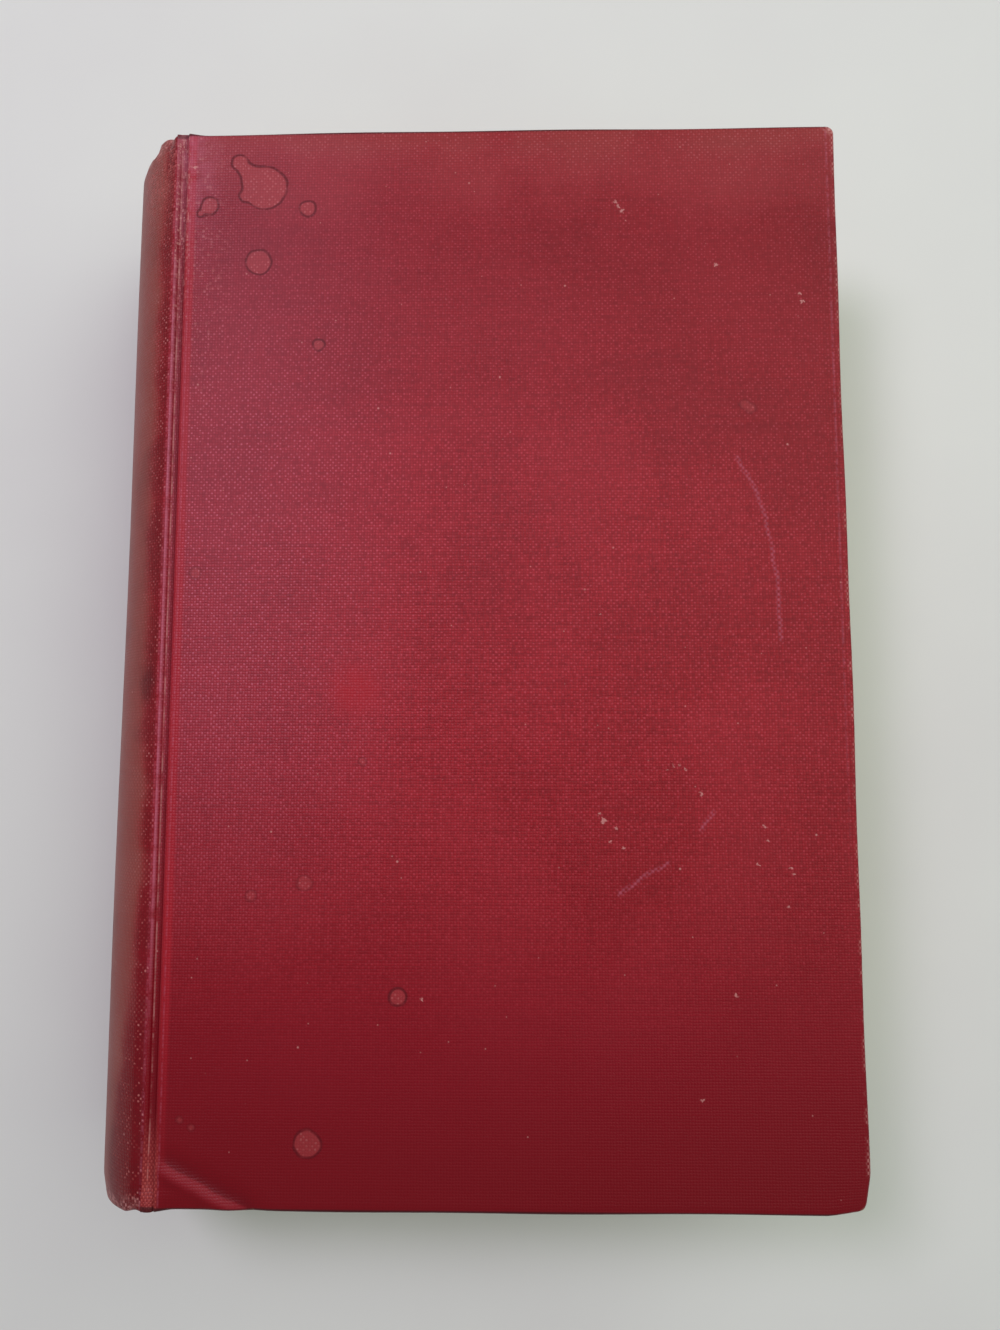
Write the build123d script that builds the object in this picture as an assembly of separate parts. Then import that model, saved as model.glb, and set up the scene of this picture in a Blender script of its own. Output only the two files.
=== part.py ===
from build123d import *
import os
from math import acos, cos, degrees, radians, sin

# A case-bound hardback in plain book cloth, lying on its back cover. All sizes are in millimetres.
# X runs from the spine to the fore-edge, Y from the tail to the head, Z up through the thickness.
# The origin is the middle of the footprint, on the surface that the book lies on.

# Covers, measured over the cloth
cover_height = 235.0
cover_width = 146.0  # from the joint groove to the fore-edge
book_thickness = 54.0
board_thickness = 2.8
cloth_thickness = 0.4
turn_in = 15.0  # cloth folded over onto the inside of a board or of the spine
edge_round = 0.8
corner_round = 1.8
glue_film = 0.05

# Front cover's tail corner, bumped by a fall
bump_length = 8.0  # along each edge
bump_depth = 1.0
bump_bend = 20.0
bump_tip_round = 1.5

# Joint groove between a board and the spine's shoulder
groove_depth = 2.0
groove_round = 0.8
groove_wall = 75.0  # degrees, at the board's edge
hinge_slit = 0.4  # between the cloth that stays with the spine and the cloth that swings

# Spine of the case
half_round = 62.0  # degrees of the round on each side of its middle
crest_round = 0.8
crest_drop = 1.3  # from the cover's outer face down to the shoulder's crest
cap_overhang = 0.75  # spine cloth past the covers at head and tail
inlay_thickness = 0.6
hollow_gap = 0.2  # between the case's spine and the back of the pages

# Pages
square = 3.0  # of the covers past the pages at head, tail and fore-edge
fore_edge_hollow = 11.0
shoulder_run = 3.0  # of the backed shoulder down to the flat of the pages
paper_thickness = 0.15  # of an endpaper
closing_gap = 0.2  # between a flyleaf and the pastedown over it
pastedown_margin = 4.0  # of cloth that shows round a pastedown

# Linings and bands on the back of the pages
lining_thickness = 0.3
lining_margin = 2.5  # short of the pages at head and tail
mull_thickness = 0.3
mull_margin = 20.0  # short of the pages at head and tail
mull_flange = 25.0  # onto each board
band_bead = 1.8
band_sides = 12
band_tape_thickness = 0.2
band_tape_width = 9.0
band_half_round = 57.0  # degrees on each side of the spine's middle

# The crest turns from the groove's slope over the top and into the round
shoulder_turn = degrees(acos(1 - (groove_depth - crest_drop) / (groove_round + crest_round)))
crest_lean = 90 - half_round
crest_height = crest_round * (1 - cos(radians(crest_lean)))
spine_radius = (book_thickness / 2 - crest_drop - crest_height) / sin(radians(half_round))
spine_sagitta = spine_radius * (1 - cos(radians(half_round)))
spine_run = (groove_round + crest_round) * sin(radians(shoulder_turn)) + crest_round * sin(radians(crest_lean))

# The cover's cloth climbs from the groove to the board's face by two bends and a straight wall
bend_rise = (groove_round + edge_round) * (1 - cos(radians(groove_wall)))
wall_length = (groove_depth - bend_rise) / sin(radians(groove_wall))
cover_run = (groove_round + edge_round) * sin(radians(groove_wall)) + wall_length * cos(radians(groove_wall))

# Places across the book
book_width = cover_width + cover_run + hinge_slit + spine_run + spine_sagitta
fore_x = book_width / 2
joint_x = fore_x - cover_width
hinge_x = joint_x - cover_run - hinge_slit / 2
round_x = hinge_x - hinge_slit / 2 - spine_run + spine_radius * cos(radians(half_round))
page_fore_x = fore_x - square

# Places up through the front half; the back half mirrors them about the middle
mid_z = book_thickness / 2
groove_z = book_thickness - groove_depth
board_top = book_thickness - cloth_thickness - glue_film
board_low = board_top - board_thickness
cover_low = board_low - glue_film - cloth_thickness
pastedown_low = cover_low - glue_film - paper_thickness
flyleaf_low = pastedown_low - closing_gap - paper_thickness
page_top = flyleaf_low - glue_film

# Outer radius of each layer of the spine, inwards from the cloth
inlay_radius = spine_radius - cloth_thickness - glue_film
spine_turn_in_radius = inlay_radius - inlay_thickness - glue_film
lining_radius = spine_turn_in_radius - cloth_thickness - hollow_gap
mull_radius = lining_radius - lining_thickness - glue_film
page_radius = mull_radius - mull_thickness - glue_film

# Lengths from tail to head
spine_height = cover_height + 2 * cap_overhang
page_height = cover_height - 2 * square
mull_height = page_height - 2 * mull_margin

middle_plane = Plane.XY.offset(mid_z)
round_axis = Axis((round_x, 0, mid_z), (0, 1, 0))


def across(profile, length, middle=0.0):
    """Solid of a cross-section in X and Z that runs the length along Y."""
    return Pos(0, middle, 0) * extrude(Plane.XZ * profile, amount=length / 2, both=True)


def slab(left, right, depth, low, high):
    """Flat rectangular piece between two places across, centred from tail to head."""
    return Pos((left + right) / 2, 0, (low + high) / 2) * Box(right - left, depth, high - low)


def strip_face(outer, inner):
    """Face between two lines of edges that run side by side."""
    ends = [Line(outer[0] @ 0, inner[0] @ 0), Line(outer[-1] @ 1, inner[-1] @ 1)]
    return make_face(outer + inner + ends)


def round_layer(outer_radius, thickness, half_angle=half_round):
    """Cross-section of a layer that follows the spine's round."""
    arcs = [
        CenterArc((round_x, mid_z), radius, 180 - half_angle, 2 * half_angle)
        for radius in (outer_radius, outer_radius - thickness)
    ]
    return strip_face(arcs[:1], arcs[1:])


def spine_line(inset):
    """Line of the spine cloth, from the front groove over the round to the back groove."""
    crest_turn = shoulder_turn + crest_lean
    start = (hinge_x - hinge_slit / 2, groove_z - inset)
    bends = [
        (crest_round - inset, crest_turn),
        (spine_radius - inset, 2 * half_round),
        (crest_round - inset, crest_turn),
        (groove_round + inset, -shoulder_turn),
    ]
    line = [JernArc(start, (-1, 0), groove_round + inset, -shoulder_turn)]
    for radius, turn in bends:
        line.append(JernArc(line[-1] @ 1, line[-1] % 1, radius, turn))
    return line


def flap_line(inset):
    """Line of the cover's cloth, from the groove up over the board's edge to its face."""
    start = (hinge_x + hinge_slit / 2, groove_z - inset)
    foot = JernArc(start, (1, 0), groove_round + inset, groove_wall)
    wall = Line(foot @ 1, foot @ 1 + (foot % 1) * wall_length)
    brow = JernArc(wall @ 1, wall % 1, edge_round - inset, -groove_wall)
    return [foot, wall, brow]


def spine_cloth():
    """Cloth of the spine and both grooves, folded in over the inlay at head and tail."""
    cloth = across(strip_face(spine_line(0), spine_line(cloth_thickness)), spine_height)
    fold_depth = spine_radius - spine_turn_in_radius + cloth_thickness
    for end in (-1, 1):
        inside = round_layer(spine_turn_in_radius, cloth_thickness)
        cloth += across(inside, turn_in, end * (spine_height - turn_in) / 2)
        fold = round_layer(spine_radius, fold_depth)
        cloth += across(fold, cloth_thickness, end * (spine_height - cloth_thickness) / 2)
    return cloth


def spine_inlay():
    """Stiff paper strip between the spine cloth and its turned-in ends."""
    strip = round_layer(inlay_radius, inlay_thickness)
    return across(strip, spine_height - 2 * (cloth_thickness + glue_film))


def text_block():
    """Sewn pages: round back with shoulders, flat sides, hollow fore-edge."""
    back = CenterArc((round_x, mid_z), page_radius, 180 - half_round, 2 * half_round)
    shoulder_x = (back @ 0).X + shoulder_run
    page_low = book_thickness - page_top
    hollow = (page_fore_x - fore_edge_hollow, mid_z)
    fore_edge = ThreePointArc((page_fore_x, page_low), hollow, (page_fore_x, page_top))
    low_side = Polyline(back @ 1, (shoulder_x, page_low), fore_edge @ 0)
    top_side = Polyline(fore_edge @ 1, (shoulder_x, page_top), back @ 0)
    return across(make_face([back, *low_side.edges(), fore_edge, *top_side.edges()]), page_height)


def flyleaf():
    """Free front endpaper, lying on the pages from the shoulder to the fore-edge."""
    left = round_x - page_radius * cos(radians(half_round)) + shoulder_run
    return slab(left, page_fore_x, page_height, flyleaf_low, flyleaf_low + paper_thickness)


def spine_mull():
    """Open cloth glued to the back of the pages."""
    return across(round_layer(mull_radius, mull_thickness), mull_height)


def spine_lining():
    """Kraft paper over the mull and the bands' tapes."""
    strip = round_layer(lining_radius, lining_thickness)
    return across(strip, page_height - 2 * lining_margin)


def end_band(end):
    """Rolled bead on the end of the pages, with its tape glued to their back."""
    bead_radius = band_bead / 2
    page_end = end * page_height / 2
    tape_radius = page_radius + glue_film + band_tape_thickness
    tape_length = band_tape_width + glue_film + bead_radius
    tape_middle = page_end + end * (tape_length / 2 - band_tape_width)
    tape = across(round_layer(tape_radius, band_tape_thickness, band_half_round), tape_length, tape_middle)
    outward = Vector(-1, 0, 0).rotate(Axis.Y, -band_half_round)
    section = Plane(round_axis.position, x_dir=outward, z_dir=outward.cross(Vector(0, 1, 0)))
    place = Pos(tape_radius - bead_radius, page_end + end * (bead_radius + glue_film))
    bead = RegularPolygon(bead_radius, band_sides)
    return tape + revolve(section * place * bead, round_axis, 2 * band_half_round)


def cover_outline(bumped):
    """Plan of a covered board. Its spine side runs on past the joint, to be trimmed there."""
    head = cover_height / 2
    run_on = joint_x - turn_in
    tail_corner = [(fore_x, -head)]
    tail_rounds = [corner_round]
    if bumped:
        tail_corner = [
            (fore_x, bump_length - head),
            (fore_x - bump_depth, bump_depth - head),
            (fore_x - bump_length, -head),
        ]
        tail_rounds = [bump_bend, bump_tip_round, bump_bend]
    points = [(run_on, head), (fore_x, head), *tail_corner, (run_on, -head)]
    rounds = [corner_round, corner_round, *tail_rounds, corner_round]
    return make_face(FilletPolyline(*points, radius=rounds, close=True))


def board_slab(outline, inset, low, high):
    """Slab of the outline drawn in by the inset."""
    plan = offset(outline, amount=-inset) if inset else outline
    return Pos(0, 0, low) * extrude(plan, amount=high - low)


def trimmed(piece):
    """The piece cut off square at the joint."""
    return split(piece, bisect_by=Plane.YZ.offset(joint_x))


def cover_board(outline):
    """Millboard inside a cover, cut square at its edges."""
    return trimmed(board_slab(outline, cloth_thickness + glue_film, board_low, board_top))


def window(margin, low, high, left=joint_x):
    """Block over the part of a board's inside that the turned-in cloth leaves bare."""
    return slab(
        left,
        fore_x - turn_in - margin,
        cover_height - 2 * (turn_in + margin),
        low,
        high,
    )


def cover_cloth(outline):
    """Cloth round three edges of a board, turned in on its inside, with its flap in the groove."""
    outside = board_slab(outline, 0, cover_low, book_thickness)
    levels = outside.edges().group_by(Axis.Z)
    outside = fillet(levels[0] + levels[-1], edge_round)
    room_low = cover_low + cloth_thickness
    room = board_slab(outline, cloth_thickness, room_low, book_thickness - cloth_thickness)
    flap = across(strip_face(flap_line(0), flap_line(cloth_thickness)), cover_height)
    return trimmed(outside - room) - window(0, cover_low, room_low) + flap


def cover_mull():
    """Flange of the mull, glued to the inside of a board along the joint."""
    mull_top = board_low - glue_film
    return slab(joint_x, joint_x + mull_flange, mull_height, mull_top - mull_thickness, mull_top)


def pastedown(outline):
    """Endpaper on the inside of a cover, over the turned-in cloth and down onto the board."""
    paper_level = pastedown_low + paper_thickness
    flat = trimmed(board_slab(outline, pastedown_margin, pastedown_low, paper_level))
    seat_left = joint_x + mull_flange + glue_film
    paper_top = board_low - glue_film
    seat = window(glue_film, pastedown_low, paper_top, seat_left)
    pocket_left = seat_left + paper_thickness
    pocket_margin = glue_film + paper_thickness
    pocket = window(pocket_margin, pastedown_low, paper_top - paper_thickness, pocket_left)
    return flat + seat - pocket


def on_back(piece):
    """The same piece on the back half of the book."""
    return mirror(piece, about=middle_plane)


front_outline = cover_outline(bumped=True)
back_outline = cover_outline(bumped=False)

pieces = {
    "text_block": text_block(),
    "front_flyleaf": flyleaf(),
    "back_flyleaf": on_back(flyleaf()),
    "head_band": end_band(1),
    "tail_band": end_band(-1),
    "spine_mull": spine_mull(),
    "spine_lining": spine_lining(),
    "spine_inlay": spine_inlay(),
    "spine_cloth": spine_cloth(),
    "front_board": cover_board(front_outline),
    "front_cloth": cover_cloth(front_outline),
    "front_mull": cover_mull(),
    "front_pastedown": pastedown(front_outline),
    "back_board": on_back(cover_board(back_outline)),
    "back_cloth": on_back(cover_cloth(back_outline)),
    "back_mull": on_back(cover_mull()),
    "back_pastedown": on_back(pastedown(back_outline)),
}

os.makedirs("parts", exist_ok=True)
for name, piece in pieces.items():
    export_step(piece, f"parts/{name}.step")
print("hinge line across:", round(hinge_x, 4), "joint:", round(joint_x, 4), "fore-edge:", round(fore_x, 4))
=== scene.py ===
import math

import bmesh
import bpy
import numpy as np
from bpy.props import FloatProperty, FloatVectorProperty, IntProperty, PointerProperty
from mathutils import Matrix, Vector


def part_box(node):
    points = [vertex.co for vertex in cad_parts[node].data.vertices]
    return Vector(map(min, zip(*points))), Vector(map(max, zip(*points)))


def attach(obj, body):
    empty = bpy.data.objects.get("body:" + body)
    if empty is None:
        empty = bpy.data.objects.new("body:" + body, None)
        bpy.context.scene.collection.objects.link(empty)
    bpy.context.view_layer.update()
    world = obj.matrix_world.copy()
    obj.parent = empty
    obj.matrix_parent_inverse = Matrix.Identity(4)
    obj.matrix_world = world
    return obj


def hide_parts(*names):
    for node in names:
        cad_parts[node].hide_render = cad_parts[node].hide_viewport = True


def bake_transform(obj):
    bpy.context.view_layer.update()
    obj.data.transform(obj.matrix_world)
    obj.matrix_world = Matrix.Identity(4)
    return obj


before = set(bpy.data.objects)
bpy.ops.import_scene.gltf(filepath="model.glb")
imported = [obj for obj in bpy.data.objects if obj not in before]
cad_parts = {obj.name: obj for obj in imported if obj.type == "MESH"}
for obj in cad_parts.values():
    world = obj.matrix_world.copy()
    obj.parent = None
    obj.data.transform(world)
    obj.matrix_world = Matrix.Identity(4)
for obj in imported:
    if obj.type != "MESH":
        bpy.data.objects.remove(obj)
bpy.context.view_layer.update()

bl_info = {
    "name": "Worn Hardback Book",
    "version": (1, 0, 0),
    "blender": (4, 5, 0),
    "location": "View3D > Sidebar > Book",
    "description": "Dresses a case-bound book in worn cloth, paper and thread around its fixed frame",
    "category": "Object",
}

MM = 0.001
# Points nearer than this lie at one place
TOUCH = 0.02 * MM

# Places taken from the frame, in metres
COVER_LOW, COVER_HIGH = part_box("front_cloth")
SPINE_LOW, SPINE_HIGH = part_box("spine_cloth")
INLAY_LOW, INLAY_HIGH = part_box("spine_inlay")
PAGES_LOW, PAGES_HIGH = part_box("text_block")
FLYLEAF_LOW, FLYLEAF_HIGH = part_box("front_flyleaf")
PASTED_LOW, PASTED_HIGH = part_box("front_pastedown")
BAND_LOW, BAND_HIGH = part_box("head_band")
TOP_Z = COVER_HIGH.z
MID_Z = TOP_Z / 2
JOINT_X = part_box("front_board")[0].x
FORE_X = COVER_HIGH.x
HEAD_Y = COVER_HIGH.y
CAP_Y = SPINE_HIGH.y
CREST_Z = SPINE_HIGH.z
MULL_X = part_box("front_mull")[1].x
HINGE_X = (COVER_LOW.x + SPINE_HIGH.x) / 2
HINGE_SLIT = COVER_LOW.x - SPINE_HIGH.x


def linear(hex_colour):
    """Linear RGBA of an sRGB hex colour."""
    channels = [int(hex_colour[i:i + 2], 16) / 255 for i in (0, 2, 4)]
    return [c / 12.92 if c <= 0.04045 else ((c + 0.055) / 1.055) ** 2.4 for c in channels] + [1.0]


def length(name, description, millimetres):
    """A length property, given in millimetres."""
    return FloatProperty(name=name, description=description, default=millimetres * MM, unit="LENGTH", precision=5)


def angle(name, description, degrees):
    """An angle property, given in degrees."""
    return FloatProperty(name=name, description=description, default=math.radians(degrees), subtype="ANGLE")


def colour(name, description, hex_colour):
    """A colour property, given as an sRGB hex value."""
    return FloatVectorProperty(
        name=name, description=description, default=linear(hex_colour), size=4, min=0, max=1, subtype="COLOR"
    )


class BookShape(bpy.types.PropertyGroup):
    """Sizes of the dressed pieces."""

    cloth: length("Cloth", "Thickness of the covering cloth", 0.4)
    turn_in: length("Turn-in", "Cloth folded over onto the inside", 15.0)
    edge_round: length("Edge round", "Radius of the covers' edges", 0.8)
    corner_round: length("Corner round", "Radius of the covers' corners", 1.8)
    groove_depth: length("Groove depth", "Depth of the joint groove below the cover", 2.0)
    groove_round: length("Groove round", "Radius at the foot of the joint groove", 0.8)
    groove_wall: angle("Groove wall", "Slope at the board's edge", 75)
    crest_round: length("Crest round", "Radius of the spine's shoulders", 0.8)
    half_round: angle("Half round", "Half the spine's round", 62)
    mesh_step: length("Mesh step", "Spacing of the mesh on the cloth", 2.0)
    hollow: length("Fore-edge hollow", "Depth of the hollow in the page edges", 11.0)
    leaf_groups: IntProperty(name="Leaf groups", description="Steps that the page edges show", default=150, min=10)
    leaf_jitter: length("Leaf jitter", "How unevenly the page edges lie", 0.09)
    paper: length("Endpaper", "Thickness of an endpaper", 0.12)
    windings: IntProperty(name="Windings", description="Turns of thread on a band", default=84, min=10)


class BookColours(bpy.types.PropertyGroup):
    """Colours of the cloth, paper and thread."""

    cloth: colour("Cloth", "Red dye of the book cloth", "961620")
    # Also laid as painted shade, darker towards the sides, the head and the tail of the cloth
    cloth_dark: colour("Cloth, deep", "Red dye between the threads", "6a0711")
    # Painted shade: a deeper red laid towards the tail, where less light and less reflection fall
    deep: colour("Cloth, unfaded", "Red dye kept deep and clean towards the tail", "7b0719")
    # Also laid as the painted highlight below the crease on the front cover
    cloth_light: colour("Cloth, thread tops", "Red dye where threads cross on top", "b2343f")
    faded: colour("Faded cloth", "Dusty head edge and drip stains", "a94848")
    sunned: colour("Sunned spine", "Spine bleached brown by daylight", "8a4138")
    rubbed: colour("Rubbed thread", "Thread worn pale on edges and corners", "c48a82")
    # Dark lines at the ends: soil at the head, painted shade on the rounded tail edge; also soil on the spine
    soil_and_shade: colour("Soiled edge", "Dark handled edges at head and tail", "361315")
    fresh: colour("Fresh dye", "Dye kept bright beside the joint", "a01a25")
    chafed: colour("Chafed joint", "Orange-pink thread at the tail of the joint", "b2514a")
    # Partly dust and wear, partly painted sheen: pale pink on thread tops and beside the joint, where a lamp's
    # reflection falls
    dust_and_sheen: colour("Dusty thread", "Pink bloom on thread tops, and at the head of the joint", "b9667a")
    # Also laid as the painted shadow above the crease on the front cover
    ring: colour("Stain rim", "Dark tide line round a stain", "560711")
    paper: colour("Paper", "Toned book paper", "dccdaa")
    paper_edge: colour("Paper, edge", "Darker toning on the cut edges", "b59b6e")
    board: colour("Millboard", "Grey-brown board", "8f8068")
    kraft: colour("Kraft paper", "Brown lining paper", "8a6a44")
    mull: colour("Mull", "Starched open cotton", "cfc3a4")
    band_light: colour("Band, light thread", "Undyed cotton of the bands", "d8c9a6")
    band_dark: colour("Band, dark thread", "Red cotton of the bands", "8a2f33")
    floor: colour("Table", "Pale table top", "d6dbd2")


class BookStage(bpy.types.PropertyGroup):
    """Camera and light."""

    lens: FloatProperty(name="Lens", description="Focal length on a 36 mm tall sensor", default=27.2, unit="CAMERA")
    key_power: FloatProperty(name="Key lamp", description="Power of the large soft lamp", default=6.3, unit="POWER")
    side_power: FloatProperty(name="Side lamp", description="Power of the small lamp", default=3.4, unit="POWER")
    fill: FloatProperty(name="Fill", description="Strength of the even light from all round", default=0.27)


# Shaping in edit mode


def start_piece(name, primitive, stretch=(1, 1, 1), **settings):
    """Adds a primitive with nothing else selected, at its size, in edit mode and under the piece's name."""
    bpy.ops.object.select_all(action="DESELECT")
    primitive(**settings)
    piece = bpy.context.active_object
    piece.name = name
    piece.data.name = name
    piece.scale = stretch
    bpy.ops.object.transform_apply(location=True, rotation=True, scale=True)
    bpy.ops.object.mode_set(mode="EDIT")
    return piece


def pick(piece, kind, test):
    """Selects only the vertices, edges or faces that pass the test."""
    bpy.ops.mesh.select_mode(type=kind)
    bpy.ops.mesh.select_all(action="DESELECT")
    mesh = bmesh.from_edit_mesh(piece.data)
    elements = {"VERT": mesh.verts, "EDGE": mesh.edges, "FACE": mesh.faces}[kind]
    for element in elements:
        element.select_set(bool(test(element)))
    mesh.select_flush_mode()
    bmesh.update_edit_mesh(piece.data)


def lies_at(element, axis, place):
    """Whether every corner of an edge or face lies at one place along an axis."""
    return all(abs(vertex.co[axis] - place) < TOUCH for vertex in element.verts)


def cut(axis, places):
    """Cuts the whole mesh across at each place along an axis."""
    direction = [0.0, 0.0, 0.0]
    direction[axis] = 1.0
    for distance in places:
        bpy.ops.mesh.select_all(action="SELECT")
        bpy.ops.mesh.bisect(
            plane_co=[distance * share for share in direction], plane_no=direction, threshold=0.001 * MM
        )


def draw_out(moves):
    """Extrudes the selected edges once for each move."""
    for move in moves:
        bpy.ops.mesh.extrude_edges_move(TRANSFORM_OT_translate={"value": move})


def bend_moves(heading, bends):
    """Moves in X and Z along bends of (radius, turn, steps), or (None, length, steps) for a straight run."""
    moves = []
    for radius, amount, steps in bends:
        turn = amount / steps if radius else 0.0
        run = 2 * radius * math.sin(abs(turn) / 2) if radius else amount / steps
        for _ in range(steps):
            direction = heading + turn / 2
            moves.append((run * math.cos(direction), 0, run * math.sin(direction)))
            heading += turn
    return moves


def coordinates(piece):
    """Leaves edit mode and gives the piece's points, one row each, in metres."""
    bpy.ops.object.mode_set(mode="OBJECT")
    points = np.empty(len(piece.data.vertices) * 3)
    piece.data.vertices.foreach_get("co", points)
    return points.reshape(-1, 3)


def place(piece, points):
    """Moves the piece's points."""
    piece.data.vertices.foreach_set("co", points.ravel())
    piece.data.update()


def face_outwards(piece, flip=False):
    """Makes the faces agree and point outwards, or turns them all round."""
    bpy.ops.object.mode_set(mode="EDIT")
    bpy.ops.mesh.select_all(action="SELECT")
    if flip:
        bpy.ops.mesh.flip_normals()
    else:
        bpy.ops.mesh.normals_make_consistent(inside=False)
    bpy.ops.object.mode_set(mode="OBJECT")


def harden(piece, thickness, offset=-1.0):
    """Gives a sheet its thickness, to one side of it."""
    wall = piece.modifiers.new("thickness", "SOLIDIFY")
    wall.thickness = thickness
    wall.offset = offset
    bpy.ops.object.modifier_apply(modifier=wall.name)


def end_piece(piece, material, smooth=40):
    """Smooths the piece up to an angle in degrees and gives it its material and slot."""
    bpy.ops.object.select_all(action="DESELECT")
    piece.select_set(True)
    bpy.context.view_layer.objects.active = piece
    bpy.ops.object.shade_smooth_by_angle(angle=math.radians(smooth))
    piece.data.materials.clear()
    piece.data.materials.append(material)


def keep(piece, name, places):
    """Stores a place for each point, in millimetres, that a material follows however the piece bends."""
    stored = piece.data.attributes.new(name, "FLOAT_VECTOR", "POINT")
    stored.data.foreach_set("vector", (places / MM).astype(np.float32).ravel())


def ease(low, high, values):
    """Smooth rise from 0 at low to 1 at high."""
    share = np.clip((values - low) / (high - low), 0, 1)
    return share * share * (3 - 2 * share)


# Cloth of the covers


def groove_moves(shape):
    """Moves of the cloth from a board's face down into the joint groove and up to the spine's crest."""
    climb = shape.groove_depth - (TOP_Z - CREST_Z)
    shoulder = math.acos(1 - climb / (shape.groove_round + shape.crest_round))
    bend_drop = (shape.groove_round + shape.edge_round) * (1 - math.cos(shape.groove_wall))
    wall = (shape.groove_depth - bend_drop) / math.sin(shape.groove_wall)
    bends = [
        (shape.edge_round, shape.groove_wall, 6),
        (None, wall, 2),
        (shape.groove_round, -shape.groove_wall, 6),
        (None, HINGE_SLIT, 2),
        (shape.groove_round, -shoulder, 6),
        (shape.crest_round, shoulder, 6),
    ]
    return bend_moves(math.pi, bends)


def groove_height(shape, x):
    """Height of the outer cloth at each place across the joint."""
    path = np.cumsum([(JOINT_X, 0, TOP_Z), *groove_moves(shape)], axis=0)[::-1]
    return np.interp(x, path[:, 0], path[:, 2])


def cover_sheet(name, shape):
    """Cloth round a board: outer face, rounded edges, turned-in border and the joint groove with its folded ends."""
    piece = start_piece(
        name, bpy.ops.mesh.primitive_cube_add, size=1,
        stretch=(FORE_X - JOINT_X, 2 * HEAD_Y, TOP_Z - COVER_LOW.z),
        location=((FORE_X + JOINT_X) / 2, 0, (TOP_Z + COVER_LOW.z) / 2),
    )
    pick(piece, "FACE", lambda face: face.normal.x < -0.9)
    bpy.ops.mesh.delete(type="FACE")
    pick(piece, "FACE", lambda face: face.normal.z < -0.9)
    bpy.ops.mesh.inset(thickness=shape.turn_in, use_boundary=False)
    bpy.ops.mesh.delete(type="FACE")
    pick(piece, "EDGE", lambda edge: lies_at(edge, 0, FORE_X) and lies_at(edge, 1, edge.verts[0].co.y))
    bpy.ops.mesh.bevel(offset=shape.corner_round, segments=6, affect="EDGES")
    pick(piece, "EDGE", lambda edge: edge.calc_face_angle(0) > 1 and lies_at(edge, 2, edge.verts[0].co.z))
    bpy.ops.mesh.bevel(offset=shape.edge_round, segments=4, affect="EDGES")
    step = shape.mesh_step
    cut(0, np.arange(JOINT_X + step / 2, FORE_X - 2 * step, step))
    cut(0, np.arange(JOINT_X + step, JOINT_X + 11 * step, step))
    cut(1, np.arange(1.5 * step - HEAD_Y, HEAD_Y - step, step))
    cut(1, np.arange(step - HEAD_Y, 8 * step - HEAD_Y, step))
    pick(piece, "EDGE", lambda edge: edge.is_boundary and lies_at(edge, 0, JOINT_X))
    draw_out(groove_moves(shape))
    points = coordinates(piece)
    outer = groove_height(shape, points[:, 0])
    folded = 1 - 0.76 * ease(0, 1.4 * MM, JOINT_X - points[:, 0])
    points[:, 2] = outer - (outer - points[:, 2]) * folded
    place(piece, points)
    return piece


# Wear of the covers, in millimetres: its reach from an edge and from the bumped corner, the heights to which the
# ends and the tail of the joint are filled, and the crease at the tail of the joint
EDGE_REACH, CORNER_REACH = 6.0, 8.5
FILLED_Z, PRESSED_Z = 53.3, 53.0
CREASE = (-63.5, -107.2), (-43.5, -117.8)


def wear_edges(points, groove, seed):
    """Lets the edges of a cover wander a little, as handled board does, and fills the ends of its joint groove."""
    x, y, _ = (points / MM).T
    fore, head, joint = FORE_X / MM, HEAD_Y / MM, JOINT_X / MM
    near_fore = ease(fore - EDGE_REACH, fore, x)
    near_end = ease(head - EDGE_REACH, head, np.abs(y))
    wander_x = 0.10 * np.sin(y / 19 + 1.7 * seed) + 0.07 * np.sin(y / 7.3 + 3.4 * seed)
    wander_y = 0.13 * np.sin(x / 23 + 1.7 * seed) + 0.08 * np.sin(x / 8.1 + 5.1 * seed)
    near_joint = 1 - ease(joint - 2.0, joint + 4.0, x)
    shallow = ease(head - 5, head - 1, np.abs(y))
    points[:, 0] += near_fore * (wander_x - 0.05) * MM
    points[:, 1] += near_end * np.sign(y) * (wander_y - 0.05 + 0.7 * near_joint) * MM
    points[:, 2] += 0.75 * shallow * np.maximum(FILLED_Z * MM - groove, 0)
    return points


def wear_front(points, groove):
    """Bumped tail corner at the fore-edge, and the pressed joint with its crease and wrinkle at the tail."""
    x, y, z = (points / MM).T
    near_fore = np.clip(1 - np.maximum(FORE_X / MM - x, 0) / CORNER_REACH, 0, 1)
    near_tail = np.clip(1 - np.maximum(y + HEAD_Y / MM, 0) / CORNER_REACH, 0, 1)
    bump = near_fore * near_tail
    start, end = np.array(CREASE)
    run = end - start
    side_way = np.array([-run[1], run[0]]) / np.hypot(*run)
    offset = np.stack([x, y], axis=1) - start
    share = offset @ run / (run @ run)
    side = offset @ side_way
    dent = 0.4 * np.exp(-((side - 1.0) / 2.0) ** 2) - 0.45 * np.exp(-((side + 1.9) / 1.5) ** 2)
    dent *= ease(-0.06, 0.1, share) * (1 - ease(0.95, 1.15, share))
    upper = ease(TOP_Z / MM - 3.0, TOP_Z / MM - 1.0, z)
    wrinkle = np.exp(-((y + 114.6 - 0.03 * (x + 60)) / 0.7) ** 2) * (1 - ease(-60, -55, x))
    pressed = ease(98, 111, -y) * np.maximum(PRESSED_Z * MM - groove, 0)
    points[:, 0] -= 1.15 * bump * MM
    points[:, 1] += 1.05 * bump * MM
    points[:, 2] -= 0.35 * bump ** 2 * MM
    points[:, 2] += (0.2 * wrinkle - dent) * upper * MM
    points[:, 2] += 0.6 * pressed
    return points


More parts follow.
